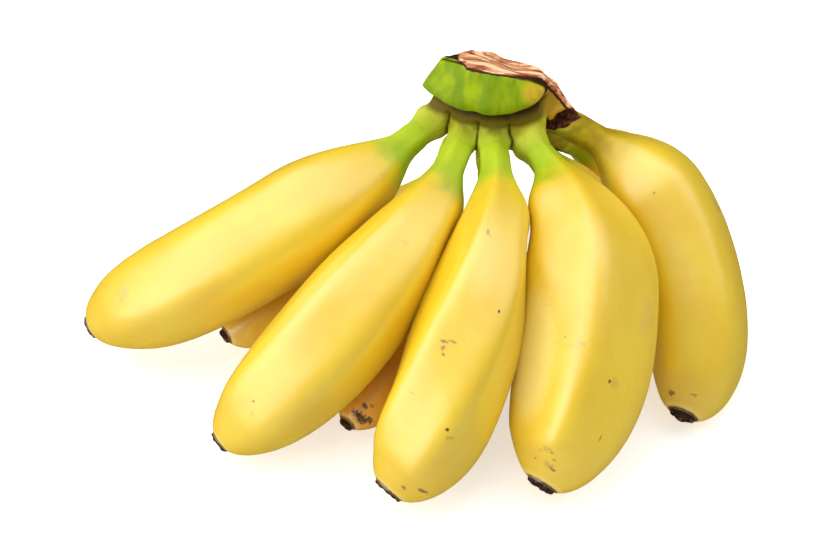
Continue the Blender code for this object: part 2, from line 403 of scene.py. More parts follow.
# The swollen collar of each stub, as a share of its radius and the share of the length where it is.
STUB_COLLARS = ((0.34, 0.004), (0.06, 0.03), (0.14, 0.03), (0.32, 0.025), (0.06, 0.03),
                (0.1, 0.03), (0.1, 0.03), (0.1, 0.03), (0.1, 0.03))
STUB_COLLAR_SHARE = 0.028

# How finely the stubs and then the whole crown are blended to one skin, and how often it is evened out.
CROWN_BLEND_VOXEL = 0.0006
CROWN_BLEND_ROUNDS = 8
CROWN_VOXEL = 0.00042
CROWN_SMOOTH_ROUNDS = 3

# Soft upright creases of the cushion: degrees on the arc, depth in metres, width in degrees.
CREASES = ((-35, 0.0003, 3.0), (-15, 0.0008, 3.2), (-1, 0.0002, 2.5), (8, 0.0003, 3.5))
CREASED_FRONT = 0.006


def smooth_outline(outline, parts):
    """Points of a smooth closed curve through an outline's points."""
    count = len(outline)
    points = []
    for index in range(count):
        p0, p1, p2, p3 = (Vector(outline[(index + k - 1) % count]) for k in range(4))
        for part in range(parts):
            t = part / parts
            points.append(0.5 * (2 * p1 + (p2 - p0) * t + (2 * p0 - 5 * p1 + 4 * p2 - p3) * t ** 2
                                 + (3 * p1 - p0 - 3 * p2 + p3) * t ** 3))
    return points


def arc_place(degrees, outward, up):
    """A point of the crown's frame: degrees on the arc, outward from it and up."""
    turn = math.radians(degrees)
    reach = ARC_RADIUS + outward
    return HAND_AT + Vector((reach * math.sin(turn), ARC_RADIUS - reach * math.cos(turn), up))


def arc_solid(name, outline, centre, reach, creases):
    """A block that follows the crown's arc and draws in towards both ends."""
    first, last, first_scale, last_scale = reach
    points = smooth_outline(outline, 4)
    rings = []
    for station in range(CROWN_STATIONS):
        share = station / (CROWN_STATIONS - 1)
        degrees = first + (last - first) * share
        end_scale = first_scale if share < 0.5 else last_scale
        scale = math.sqrt(1 - (1 - end_scale ** 2) * (2 * share - 1) ** 2)
        crease = sum(depth * bell(degrees - at, width) for at, depth, width in creases)
        corners = []
        for outward, up in points:
            front = above(outward, centre[0], CREASED_FRONT)
            place = arc_place(degrees, centre[0] + (outward - centre[0]) * scale - crease * front,
                              centre[1] + (up - centre[1]) * scale)
            corners.append((place, place))
        rings.append(corners)
    return skin(name, rings, [0] * CROWN_STATIONS, [0.0] * CROWN_STATIONS)


def stalk_stub(index):
    """The start of one stalk, swollen where it leaves the crown, and diving under the fruit's own skin."""
    root = MIDDLE_LINES[index][0][0]
    core = root.lerp(HAND_AT + CROWN_CORE, TOWARDS_CORE)
    rings = [[(core + (corner - root) * START_SLIMNESS, spot) for corner, spot in ring(index, 0.0, 0)]]
    for step in range(round(STUB_SHARES[index] * STEPS) + 1):
        along = step / STEPS
        height, collar_at = STUB_COLLARS[index]
        swell = 1 + height * bell(along - collar_at, STUB_COLLAR_SHARE)
        swell -= STUB_DIVES_BY * smoothstep((along - STUB_SHARES[index] + STUB_DIVES) / STUB_DIVES)
        rings.append(ring(index, along, step, swell))
    return skin("stub", rings, [0] * len(rings), [0.0] * len(rings))


def applied(made, kind, **settings):
    """Puts one modifier on an object and keeps its result as the object's mesh."""
    modifier = made.modifiers.new(kind.lower(), kind)
    for key, value in settings.items():
        setattr(modifier, key, value)
    result = bpy.data.meshes.new_from_object(made.evaluated_get(bpy.context.evaluated_depsgraph_get()))
    made.modifiers.clear()
    old = made.data
    made.data = result
    bpy.data.meshes.remove(old)


def joined(made, others):
    """Joins closed shapes to one by a Boolean union, and removes them."""
    group = bpy.data.collections.new("joined")
    bpy.context.scene.collection.children.link(group)
    for other in others:
        group.objects.link(other)
    applied(made, "BOOLEAN", operation="UNION", operand_type="COLLECTION", collection=group, solver="EXACT")
    for other in others:
        bpy.data.objects.remove(other)
    bpy.data.collections.remove(group)


def shape_of(made):
    """A shape with an object's mesh, to be worked on."""
    shape = bmesh.new()
    shape.from_mesh(made.data)
    return shape


def relaxed(made, rounds):
    """Evens a mesh out in place."""
    shape = shape_of(made)
    for _ in range(rounds):
        bmesh.ops.smooth_vert(shape, verts=shape.verts, factor=0.5,
                              use_axis_x=True, use_axis_y=True, use_axis_z=True)
    shape.to_mesh(made.data)
    shape.free()


def surface_tree(made):
    """Where an object's surface lies, for distances to it."""
    shape = shape_of(made)
    tree = BVHTree.FromBMesh(shape)
    shape.free()
    return tree


def sliced(made, cut):
    """Takes off what stands past a cut and closes it."""
    point, normal = cut
    shape = shape_of(made)
    parts = shape.verts[:] + shape.edges[:] + shape.faces[:]
    bmesh.ops.bisect_plane(shape, geom=parts, dist=1e-7, plane_co=point + HAND_AT, plane_no=normal,
                           clear_outer=True)
    bmesh.ops.holes_fill(shape, edges=shape.edges)
    bmesh.ops.recalc_face_normals(shape, faces=shape.faces)
    shape.to_mesh(made.data)
    shape.free()


def crown_piece():
    """The crown with the starts of the stalks, its overhanging cushion and its dried cuts."""
    crown = arc_solid("crown", BLOCK_OUTLINE, BLOCK_CENTRE, BLOCK_REACH, ())
    joined(crown, [stalk_stub(index) for index in range(len(FRUITS)) if index != END_STALK])
    applied(crown, "REMESH", mode="VOXEL", voxel_size=CROWN_BLEND_VOXEL)
    relaxed(crown, CROWN_BLEND_ROUNDS)
    block_tree = surface_tree(crown)
    cushion = arc_solid("cushion", CUSHION_OUTLINE, CUSHION_CENTRE, CUSHION_REACH, CREASES)
    cushion_tree = surface_tree(cushion)
    joined(crown, [cushion])
    for cut in (TOP_CUT, SIDE_CUT, LEFT_END):
        sliced(crown, cut)
    joined(crown, [stalk_stub(END_STALK)])
    applied(crown, "REMESH", mode="VOXEL", voxel_size=CROWN_VOXEL)
    relaxed(crown, CROWN_SMOOTH_ROUNDS)
    marked_out(crown, block_tree, cushion_tree)
    sculpted(crown)
    crown.data.shade_smooth()
    return crown


# The dried cut: where its skin ends, how its rim stands up and its middle sinks, in metres.
TOP_CUT_WITHIN = 0.00035
SIDE_CUT_WITHIN = 0.0013
RIM_WIDTH = 0.0007
RIM_HEIGHT = 0.00045
CUT_SINKS = 0.0005
CUT_SINKS_OVER = 0.0016
CUT_FIBRES = 0.00016
CUT_FIBRE_SCALES = Vector((90, 650, 650))
CUT_WAVES = 0.0007
CUT_WAVE_SCALE = 170
DARK_RIM = (0.0002, 0.0008)
SHARP_EDGE = 0.00025

# A hump of the cut's back edge: height, place and half width along it, and where it rises and fades.
CUT_BACK_RISES = 0.0021
CUT_BACK_AT = -0.0085
CUT_BACK_HALF_WIDTH = 0.0070
CUT_BACK_FROM = (0.006, 0.007)
CUT_BACK_FADES = 0.0035

# Crevices of the crown between neighbouring stalks, sunk in and darkened with painted shade.
CREVICE_DEPTH = 0.0013
CREVICE_WIDTH = 0.0011
CREVICE_BEHIND = 0.15

# The hollow that a torn-off fruit left in front of the rightmost stalk, in the hand's drawing frame.
HOLLOW = Vector((0.0166, 0.0036, 0.0561))
HOLLOW_ALONG = Vector((0.87, 0.42, 0.26)).normalized()
HOLLOW_FACING = Vector((0.30, -0.75, 0.58)).normalized()
HOLLOW_HALF_SIZE = (0.0050, 0.0025)
HOLLOW_THICKNESS = 0.008
HOLLOW_BENDS = 0.5
HOLLOW_RAGGED = 0.25
HOLLOW_RAGGED_SCALE = 500
HOLLOW_DEPTH = 0.0022
HOLLOW_BOWL = 0.8
HOLLOW_RIM = 0.0005
HOLLOW_RIM_AT = 1.25
HOLLOW_RIM_WIDTH = 0.3

# The slanting left end of the cut, its dark nick and the yellow patch at the cushion's right end.
# The cut starts at one place along x at its back, and the slant moves that to the right in front.
CUT_STARTS = -0.0167
CUT_START_SLANT = 0.60
CUT_START_BACK = 0.0165
CUT_START_WIDTH = 0.0008
NICK_FROM = -0.0115
NICK_FADES = 0.0022
NICK_DEPTH = 0.0008
YELLOW_PATCH = Vector((0.0087, 0.0034, 0.0680))
YELLOW_PATCH_SIZE = 0.0048

# Where the parts of the crown begin, each as a level and the width over which it sets in, in metres.
CUSHION_SKIN = (0.0004, 0.0005)
CUSHION_OFF_BLOCK = (0.0003, 0.0005)
CUSHION_AT_CUT = (-0.0012, 0.0006)
STUB_SKIN = (0.0006, 0.0026)
UNDER_LIP = (0.0660, 0.003)
GROOVE_ENDS = (0.0035, 0.0045)
BELOW_CUSHION = (0.0600, 0.003)
FRONT_OF_BLOCK = (-0.014, 0.006)
SIDE_CUT_FOOT = (0.0560, 0.0015)
SIDE_CUT_FRONT = (0.0002, 0.0004)
NICK_AT_CUT = (-0.0004, 0.0003)
HOLLOW_EDGE = (0.85, 0.35)
FACET_RIGHT = (0.009, 0.004)
FACET_FOOT = (0.054, 0.004)

# How wide the line of painted shade under the cushion's lip is, how wide at its right end, from where that
# end begins, and how wide the line's edge on the cushion is.
LIP_WIDTH = 0.0042
LIP_END_WIDTH = 0.0022
LIP_END_FROM = 0.010
LIP_ON_CUSHION = 0.0008


def nearest_stalk(place):
    """The stalk nearest to a place: fruit, share of its length, angle round and distance from its middle
    line, and how much farther the next stalk is."""
    best = None
    apart_from_next = 1.0
    for index, middle_line in enumerate(MIDDLE_LINES):
        length = FRUITS[index].length
        step = 0
        for _ in range(3):
            point, tangent, inside, across = middle_line[step]
            step += round((place - point).dot(tangent) / length * STEPS)
            step = min(max(step, 0), STEPS // 4)
        point, tangent, inside, across = middle_line[step]
        apart = place - point
        if best is None or apart.length < best[3]:
            apart_from_next = best[3] - apart.length if best else 1.0
            past = apart.dot(tangent) / length
            turn = math.atan2(apart.dot(across), apart.dot(inside))
            best = (index, max(step / STEPS + past, 0.0), turn, apart.length)
        else:
            apart_from_next = min(apart_from_next, apart.length - best[3])
    return (*best, apart_from_next)


def hollow_distance(place):
    """Distance from the torn hollow's middle as a share of its half size, a little ragged."""
    rise = HOLLOW_FACING.cross(HOLLOW_ALONG).normalized()
    apart = place - HOLLOW
    along = apart.dot(HOLLOW_ALONG) / HOLLOW_HALF_SIZE[0]
    up = apart.dot(rise) / HOLLOW_HALF_SIZE[1] + HOLLOW_BENDS * along * along
    deep = apart.dot(HOLLOW_FACING) / HOLLOW_THICKNESS
    ragged = HOLLOW_RAGGED * noise.noise(place * HOLLOW_RAGGED_SCALE)
    return math.sqrt(along ** 2 + up ** 2 + deep ** 4) + ragged


def past_cut(place, cut):
    """How far a place stands out past a cut's plane."""
    return (place - cut[0]).dot(cut[1])


def crown_values(place, to_block, to_cushion, reach, apart_from_next):
    """What a place of the crown is, each as a share from 0 to 1, from where it lies in the hand's drawing
    frame and its distances to the block, to the cushion, along the nearest stalk and to the next one."""
    top_depth = past_cut(place, TOP_CUT)
    side_depth = past_cut(place, SIDE_CUT)
    outward = math.hypot(place.x, ARC_RADIUS - place.y) - ARC_RADIUS
    at_cut = above(top_depth, *CUSHION_AT_CUT)
    on_cushion = max(1 - above(to_cushion, *CUSHION_SKIN), at_cut)
    under_lip = below(place.z, *UNDER_LIP)
    lip_width = LIP_WIDTH if place.x < LIP_END_FROM else LIP_END_WIDTH
    in_front = CREVICE_BEHIND + (1 - CREVICE_BEHIND) * above(outward, *FRONT_OF_BLOCK)
    on_side_cut = above(side_depth, -SIDE_CUT_WITHIN, SHARP_EDGE) * above(place.z, *SIDE_CUT_FOOT)
    on_side_cut *= 1 - above(side_depth, *SIDE_CUT_FRONT)
    cut_starts = CUT_STARTS + (CUT_START_BACK - place.y) * CUT_START_SLANT
    past_start = above(place.x, cut_starts, CUT_START_WIDTH)
    on_top_cut = above(top_depth, -TOP_CUT_WITHIN, SHARP_EDGE) * past_start
    return {
        "stub": above(reach, *STUB_SKIN) * (1 - on_cushion),
        "cushion": on_cushion * max(above(to_block, *CUSHION_OFF_BLOCK), at_cut),
        "lip": max(bell(to_cushion, lip_width) * under_lip * (1 - on_cushion),
                   bell(to_block, LIP_ON_CUSHION) * on_cushion),
        "groove": (1 - above(to_cushion, *GROOVE_ENDS)) * under_lip,
        "crevice": bell(apart_from_next, CREVICE_WIDTH) * below(place.z, *BELOW_CUSHION) * in_front,
        "cut": max(on_top_cut, on_side_cut),
        "hollow": 1 - above(hollow_distance(place), *HOLLOW_EDGE),
        "nick": below(place.x, NICK_FROM, NICK_FADES) * above(top_depth, *NICK_AT_CUT) * past_start,
        "patch": bell((place - YELLOW_PATCH).length, YELLOW_PATCH_SIZE),
        "facet": above(place.x, *FACET_RIGHT) * above(place.z, *FACET_FOOT),
    }


def marked_out(crown, block_tree, cushion_tree):
    """Stores on the crown what each place is: cushion, stub, the lip line and crevices of painted shade,
    cut, dark rim, hollow and patch.
    """
    mesh = crown.data
    names = ("along", "stub", "cushion", "lip", "groove", "crevice",
             "cut", "rim", "hollow", "nick", "patch", "facet")
    for name in names:
        mesh.attributes.new(name, "FLOAT", "POINT")
    mesh.attributes.new("straight", "FLOAT_VECTOR", "POINT")
    layers = {name: mesh.attributes[name].data for name in names}
    spots = mesh.attributes["straight"].data
    owners = []
    for vertex in mesh.vertices:
        to_block = block_tree.find_nearest(vertex.co)[3]
        to_cushion = cushion_tree.find_nearest(vertex.co)[3]
        index, along, turn, distance, apart_from_next = nearest_stalk(vertex.co)
        fruit = FRUITS[index]
        reach = along * fruit.length
        values = crown_values(vertex.co - HAND_AT, to_block, to_cushion, reach, apart_from_next)
        for name, value in values.items():
            layers[name][vertex.index].value = value
        layers["along"][vertex.index].value = along
        angle = turn - math.radians(fruit.ridge + fruit.twist * (along - TWIST_ABOUT))
        spots[vertex.index].vector = straight(index, along, angle, distance)
        owners.append(index)
    greenness(crown, owners)


def sculpted(crown):
    """Gives the crown its sunken, fibrous cut with a raised rim, its crevices, torn hollow and nick."""
    mesh = crown.data
    cut = [corner.value for corner in mesh.attributes["cut"].data]
    rims = mesh.attributes["rim"].data
    crevice = mesh.attributes["crevice"].data
    nick = mesh.attributes["nick"].data
    skin_tree = KDTree(len(mesh.vertices))
    cut_tree = KDTree(len(mesh.vertices))
    for vertex in mesh.vertices:
        tree = skin_tree if cut[vertex.index] < 0.5 else cut_tree
        tree.insert(vertex.co, vertex.index)
    skin_tree.balance()
    cut_tree.balance()
    moves = []
    for vertex in mesh.vertices:
        place = vertex.co - HAND_AT
        move = Vector()
        top_depth = past_cut(place, TOP_CUT)
        facing = TOP_CUT[1] if top_depth > past_cut(place, SIDE_CUT) else SIDE_CUT[1]
        if cut[vertex.index] > 0:
            inward = skin_tree.find(vertex.co)[2]
            height = RIM_HEIGHT * bell(inward - RIM_WIDTH, RIM_WIDTH)
            height -= CUT_SINKS * above(inward, RIM_WIDTH, CUT_SINKS_OVER)
            height += CUT_FIBRES * noise.fractal(place * CUT_FIBRE_SCALES, 1.0, 2.0, 3)
            height += CUT_WAVES * noise.noise(place * CUT_WAVE_SCALE)
            move += facing * height * cut[vertex.index]
        rims[vertex.index].value = 1 - above(cut_tree.find(vertex.co)[2], *DARK_RIM)
        rise = CUT_BACK_RISES * bell(place.x - CUT_BACK_AT, CUT_BACK_HALF_WIDTH)
        rise *= above(place.y, *CUT_BACK_FROM)
        move += TOP_CUT[1] * rise * math.exp(min(top_depth, 0.0) / CUT_BACK_FADES)
        move -= TOP_CUT[1] * NICK_DEPTH * nick[vertex.index].value
        out_of_arc = Vector((place.x, place.y - ARC_RADIUS, 0.0)).normalized()
        move -= out_of_arc * CREVICE_DEPTH * crevice[vertex.index].value
        away = hollow_distance(place)
        rim = HOLLOW_RIM * bell(away - HOLLOW_RIM_AT, HOLLOW_RIM_WIDTH)
        move -= HOLLOW_FACING * (HOLLOW_DEPTH * bell(away, HOLLOW_BOWL) - rim)
        moves.append(move)
    for vertex, move in zip(mesh.vertices, moves):
        vertex.co += move


class Looks:
    """The shader nodes of one material, added and linked one after another."""

    def __init__(self, name):
        self.material = bpy.data.materials.new(name)
        self.material.use_nodes = True
        self.tree = self.material.node_tree
        self.shader = self.tree.nodes["Principled BSDF"]

    def put(self, socket, value):
        """Links a socket to another node's output, or sets its value."""
        if isinstance(value, bpy.types.NodeSocket):
            self.tree.links.new(value, socket)
        elif socket.type == "RGBA":
            socket.default_value = (*value, 1.0)
        else:
            socket.default_value = value

    def give(self, name, value):
        """Gives one input of the shader its value."""
        self.put(self.shader.inputs[name], value)

    def node(self, kind, inputs, **settings):
        """Adds a node with its settings and fills its inputs, given by name or number."""
        made = self.tree.nodes.new(kind)
        for key, value in settings.items():
            setattr(made, key, value)
        for key, value in inputs.items():
            self.put(made.inputs[key], value)
        return made

    def calc(self, operation, first, second, clamped=False):
        """A sum or product of two values, kept between 0 and 1 if clamped."""
        inputs = {0: first, 1: second}
        return self.node("ShaderNodeMath", inputs, operation=operation, use_clamp=clamped).outputs[0]

    def plus(self, first, second):
        """The sum of two values."""
        return self.calc("ADD", first, second)

    def times(self, first, second):
        """The product of two values."""
        return self.calc("MULTIPLY", first, second)

    def ragged(self, value, pattern, amount):
        """A value that wanders by an amount of a pattern about 0.5, so that its edge is uneven."""
        return self.plus(value, self.times(self.plus(pattern, -0.5), amount))

    def clipped(self, first, second):
        """The sum of two values, kept between 0 and 1."""
        return self.calc("ADD", first, second, True)

    def vector(self, operation, first, second):
        """A product, quotient or the like of two vectors."""
        return self.node("ShaderNodeVectorMath", {0: first, 1: second}, operation=operation).outputs[0]

    def attribute(self, name):
        """A number stored at the corners of the mesh."""
        return self.node("ShaderNodeAttribute", {}, attribute_name=name).outputs["Fac"]

    def spot(self, name):
        """A place stored at the corners of the mesh."""
        return self.node("ShaderNodeAttribute", {}, attribute_name=name).outputs["Vector"]

    def grain(self, spot, scale, detail=2.0, roughness=0.5, stretch=(1.0, 1.0, 1.0)):
        """Cloudy noise about 0.5 at a scale per metre, stretched along the axes."""
        stretched = self.vector("MULTIPLY", spot, tuple(scale * share for share in stretch))
        inputs = {"Vector": stretched, "Scale": 1.0, "Detail": detail, "Roughness": roughness}
        return self.node("ShaderNodeTexNoise", inputs).outputs[0]

    def span(self, value, low, high, start=0.0, end=1.0):
        """Goes smoothly from start to end while the value goes from low to high."""
        inputs = {0: value, 1: low, 2: high, 3: start, 4: end}
        return self.node("ShaderNodeMapRange", inputs, interpolation_type="SMOOTHSTEP").outputs[0]

    def blend(self, amount, first, second):
        """Goes from the first colour to the second while the amount goes from 0 to 1."""
        return self.node("ShaderNodeMix", {0: amount, 6: first, 7: second}, data_type="RGBA").outputs[2]

    def tint(self, colour, other, value, low, high, amount=1.0):
        """Blends an amount of another colour in while a value goes from low to high."""
        return self.blend(self.span(value, low, high, 0.0, amount), colour, other)

    def living_skin(self, colour, roughness, normal, glow, reach):
        """Gives the shader the looks of a moist skin, into which light gets to a reach in metres."""
        self.give("Base Color", colour)
        self.give("Roughness", roughness)
        self.give("Normal", normal)
        self.give("Specular IOR Level", SKIN_SPECULAR)
        self.give("Subsurface Weight", glow)
        self.give("Subsurface Radius", reach)
        self.give("Subsurface Scale", 0.5)

    def bump(self, height, strength, distance, normal=None):
        """Small relief from a height between 0 and 1."""
        inputs = {"Height": height, "Strength": strength, "Distance": distance}
        if normal is not None:
            inputs["Normal"] = normal
        return self.node("ShaderNodeBump", inputs).outputs[0]


# Colours of the peel and the stalks, of their marks and of the tips, and a pale cream painted as sheen.
LEMON = linear(236, 203, 16)
WARM_YELLOW = linear(233, 193, 4)
GOLDEN = linear(227, 177, 0)
STALK_TOP = linear(206, 206, 66)
STALK_GREEN = linear(180, 200, 42)
STALK_SHADE_GREEN = linear(148, 180, 14)
DULL_OLIVE = linear(146, 122, 0)
AMBER = linear(222, 144, 0)
SPECK_BROWN = linear(140, 100, 40)
BRUISE_BROWN = linear(190, 150, 70)
SCAR_BROWN = linear(120, 84, 34)
DOT_BLACK = linear(62, 44, 22)
SMUDGE_GREY = linear(176, 164, 96)
PALE_RING = linear(236, 216, 130)
SHEEN_CREAM = linear(250, 228, 130)
END_BLACK = linear(38, 22, 14)
END_BROWN = linear(96, 58, 30)
END_TAN = linear(168, 112, 62)
END_CRACKS = linear(22, 12, 8)

# Marks seen on each fruit: share of its length, degrees round it, width and length in millimetres, how
# strong and how ragged they are, and their colour. The broad pale cream ones are painted sheen on flanks
# that face the light.
Mark = namedtuple("Mark", "along degrees width length strength ragged colour")
MARKS = {
    0: (
        (0.820, 179, 4.6, 4.2, 0.34, 0.9, SMUDGE_GREY), (0.833, 172, 1.6, 1.2, 0.40, 0.5, BRUISE_BROWN),
        (0.846, 234, 1.0, 3.6, 0.60, 0.7, SMUDGE_GREY), (0.747, 238, 0.7, 1.4, 0.80, 0.4, SCAR_BROWN),
    ),
    1: (
        (0.55, 222, 10.0, 34.0, 0.30, 0.15, SHEEN_CREAM), (0.817, 180, 0.7, 0.8, 0.80, 0.3, SCAR_BROWN),
        (0.838, 170, 1.8, 0.8, 0.45, 0.7, BRUISE_BROWN), (0.381, 179, 3.2, 1.3, 0.32, 0.7, SMUDGE_GREY),
    ),
    2: (
        (0.42, 195, 8.0, 24.0, 0.30, 0.15, SHEEN_CREAM), (0.357, 205, 0.8, 1.5, 0.55, 0.6, SCAR_BROWN),
        (0.362, 200, 1.2, 0.8, 0.35, 0.6, BRUISE_BROWN), (0.513, 157, 0.62, 0.85, 1.00, 0.3, DOT_BLACK),
        (0.604, 196, 1.5, 0.8, 0.75, 0.8, SCAR_BROWN), (0.599, 188, 2.4, 0.5, 0.55, 0.6, SCAR_BROWN),
        (0.616, 194, 0.9, 1.3, 0.60, 0.8, SCAR_BROWN), (0.630, 190, 0.8, 0.8, 0.65, 0.4, SCAR_BROWN),
        (0.612, 193, 3.2, 3.0, 0.18, 0.8, BRUISE_BROWN), (0.730, 198, 2.8, 0.40, 0.40, 0.3, SCAR_BROWN),
        (0.764, 146, 0.90, 0.80, 0.90, 0.3, DOT_BLACK), (0.778, 139, 2.2, 1.0, 0.55, 0.7, BRUISE_BROWN),
        (0.940, 110, 3.2, 1.3, 0.80, 0.9, SCAR_BROWN), (0.968, 132, 1.8, 1.0, 0.70, 0.9, SCAR_BROWN),
    ),
    3: (
        (0.68, 268, 13.0, 36.0, 0.70, 0.15, SHEEN_CREAM), (0.34, 245, 10.0, 18.0, 0.30, 0.15, SHEEN_CREAM),
        (0.407, 216, 1.0, 0.9, 0.28, 0.5, BRUISE_BROWN), (0.619, 238, 0.70, 0.70, 0.55, 0.4, SCAR_BROWN),
        (0.635, 222, 3.0, 2.2, 0.42, 0.8, BRUISE_BROWN), (0.640, 232, 3.0, 0.8, 0.28, 0.8, BRUISE_BROWN),
        (0.703, 188, 0.85, 0.95, 0.95, 0.4, SCAR_BROWN), (0.706, 182, 2.4, 2.8, 0.40, 0.8, BRUISE_BROWN),
        (0.825, 173, 0.45, 2.8, 0.60, 0.4, SCAR_BROWN), (0.560, 160, 6.0, 9.0, 0.20, 0.8, SMUDGE_GREY),
        (0.900, 222, 2.4, 2.0, 0.60, 0.9, BRUISE_BROWN), (0.908, 214, 1.2, 0.9, 0.70, 0.8, SCAR_BROWN),
        (0.916, 228, 1.3, 0.9, 0.65, 0.8, BRUISE_BROWN), (0.932, 208, 0.9, 0.8, 0.60, 0.6, SCAR_BROWN),
        (0.955, 212, 2.6, 1.6, 0.60, 0.9, BRUISE_BROWN), (0.962, 204, 1.6, 0.9, 0.70, 0.9, SCAR_BROWN),
        (0.955, 236, 0.8, 0.6, 0.75, 0.6, SCAR_BROWN),
    ),
    4: (
        (0.335, 252, 0.75, 0.75, 0.55, 0.4, SCAR_BROWN), (0.436, 174, 1.6, 3.2, 0.55, 0.9, SMUDGE_GREY),
        (0.448, 168, 0.8, 1.2, 0.60, 0.6, SCAR_BROWN), (0.968, 292, 2.0, 1.4, 0.80, 0.9, SCAR_BROWN),
        (0.955, 246, 1.4, 0.9, 0.55, 0.9, SCAR_BROWN),
    ),
    6: (
        (0.975, 258, 3.6, 2.0, 0.95, 0.9, DOT_BLACK), (0.952, 280, 1.6, 1.2, 0.85, 0.8, DOT_BLACK),
        (0.978, 285, 2.8, 1.4, 0.90, 0.9, DOT_BLACK), (0.940, 268, 1.3, 1.0, 0.75, 0.7, SCAR_BROWN),
        (0.962, 240, 2.2, 1.2, 0.85, 0.8, DOT_BLACK),
    ),
}

# How much amber is painted on the fruits of the lower row, rising towards their tips: painted shade for the
# shade they lie in under the upper row.
AMBER_SHADE_FRUITS = {5: 0.25, 6: 0.75, 7: 0.5, 8: 0.3}

# The soft, shallow light that gets through the skin, in metres, and how strongly both skins mirror.
PEEL_GLOW = (0.004, 0.0025, 0.0006)
CROWN_GLOW = (0.003, 0.003, 0.0006)
SKIN_SPECULAR = 0.2
SKIN_ROUGHNESS = 0.42
SKIN_ROUGHNESS_VARIES = 0.2


def peel_parts(looks, spot, along):
    """Colour, height and roughness of the peel, from the spot on the straightened fruit."""
    clouds = looks.grain(spot, 70, 3.0, 0.55, (1, 1, 0.6))
    patches = looks.grain(spot, 230, 3.0, 0.6)
    fibres = looks.grain(spot, 1100, 2.0, 0.6, (1, 1, 0.03))
    pores = looks.grain(spot, 2400)
    colour = looks.blend(looks.span(clouds, 0.34, 0.66), LEMON, WARM_YELLOW)
    colour = looks.tint(colour, GOLDEN, patches, 0.50, 0.72, 0.16)
    colour = looks.tint(colour, GOLDEN, fibres, 0.50, 0.70, 0.10)
    colour = looks.tint(colour, GOLDEN, along, 0.86, 1.0, 0.20)

    green = looks.ragged(looks.ragged(looks.attribute("green"), clouds, 1.6), patches, 0.8)
    green = looks.span(green, 0.0, 1.0)
    dull = looks.times(looks.attribute("dull"), looks.span(patches, 0.25, 0.6, 0.7, 0.95))
    stalk = looks.blend(looks.span(clouds, 0.35, 0.70), STALK_GREEN, STALK_SHADE_GREEN)
    stalk = looks.blend(looks.span(along, 0.075, 0.02, 0.0, 0.85), stalk, STALK_TOP)
    stalk = looks.tint(stalk, STALK_SHADE_GREEN, fibres, 0.48, 0.66, 0.20)
    colour = looks.blend(dull, looks.blend(green, colour, stalk), DULL_OLIVE)

    cells = looks.node("ShaderNodeTexVoronoi", {"Vector": spot, "Scale": 150.0, "Randomness": 1.0})
    chance = looks.node("ShaderNodeSeparateColor", {0: cells.outputs["Color"]}).outputs[0]
    speck = looks.times(looks.span(cells.outputs["Distance"], 0.075, 0.035), looks.span(chance, 0.90, 0.99))
    colour = looks.blend(looks.times(speck, 0.75), colour, SPECK_BROWN)

    height = looks.plus(looks.times(pores, 0.35), looks.times(fibres, 0.45))
    height = looks.plus(height, looks.times(speck, -0.5))
    roughness = looks.plus(SKIN_ROUGHNESS, looks.times(patches, SKIN_ROUGHNESS_VARIES))
    return colour, height, roughness, clouds


def peel_material(index):
    """Ripe yellow peel of one fruit, with its own marks, among them painted sheen, and on the lower row
    amber painted shade.
    """
    looks = Looks("peel_fruit_" + FRUITS[index].name)
    spot = looks.spot("straight")
    along = looks.attribute("along")
    colour, height, roughness, clouds = peel_parts(looks, spot, along)
    # Amber painted shade on the lower row, stronger towards the tips.
    patch_or_shade_tint = AMBER_SHADE_FRUITS.get(index, 0.0)
    if patch_or_shade_tint:
        colour = looks.blend(looks.span(along, 0.15, 0.9, 0.3 * patch_or_shade_tint, patch_or_shade_tint), colour, AMBER)
    grain = looks.plus(looks.grain(spot, 1100, 3.0, 0.65), -0.5)
    # Some marks are broad pale cream patches of painted sheen.
    for mark in (Mark(*row) for row in MARKS.get(index, ())):
        amount = mark_amount(looks, index, mark, spot, grain)
        colour = looks.blend(amount, colour, mark.colour)
        height = looks.plus(height, looks.times(amount, -0.6))
        roughness = looks.plus(roughness, looks.times(amount, 0.25))
    edge = looks.plus(along, looks.times(grain, 0.006))
    colour = looks.tint(colour, PALE_RING, edge, 0.986, 0.994, 0.4)
    colour = looks.tint(colour, SCAR_BROWN, edge, 0.9955, 0.9985)
    normal = looks.bump(clouds, 0.25, 0.0012, looks.bump(height, 0.35, 0.00012))
    looks.living_skin(colour, roughness, normal, 0.10, PEEL_GLOW)
    looks.give("Coat Weight", looks.span(along, 0.11, 0.24, 0.0, 1.0))
    looks.give("Coat IOR", 2.1)
    looks.give("Coat Roughness", 0.40)
    return looks.material


def mark_amount(looks, index, mark, spot, grain):
    """How strongly a fruit's mark shows, with a ragged edge, from the spot on the straightened fruit."""
    reach = skin_reach(index, mark.along, round(mark.degrees / 360 * SIDES))
    centre = straight(index, mark.along, math.radians(mark.degrees), reach)
    size = (mark.width / 1000, mark.width / 1000, mark.length / 1000)
    apart = looks.vector("DIVIDE", looks.vector("SUBTRACT", spot, tuple(centre)), size)
    away = looks.node("ShaderNodeVectorMath", {0: apart}, operation="LENGTH").outputs["Value"]
    away = looks.plus(away, looks.times(grain, mark.ragged * 2.2))
    hard = 0.38 if mark.strength > 0.5 else 0.12
    return looks.times(looks.span(away, 0.70, hard), mark.strength)


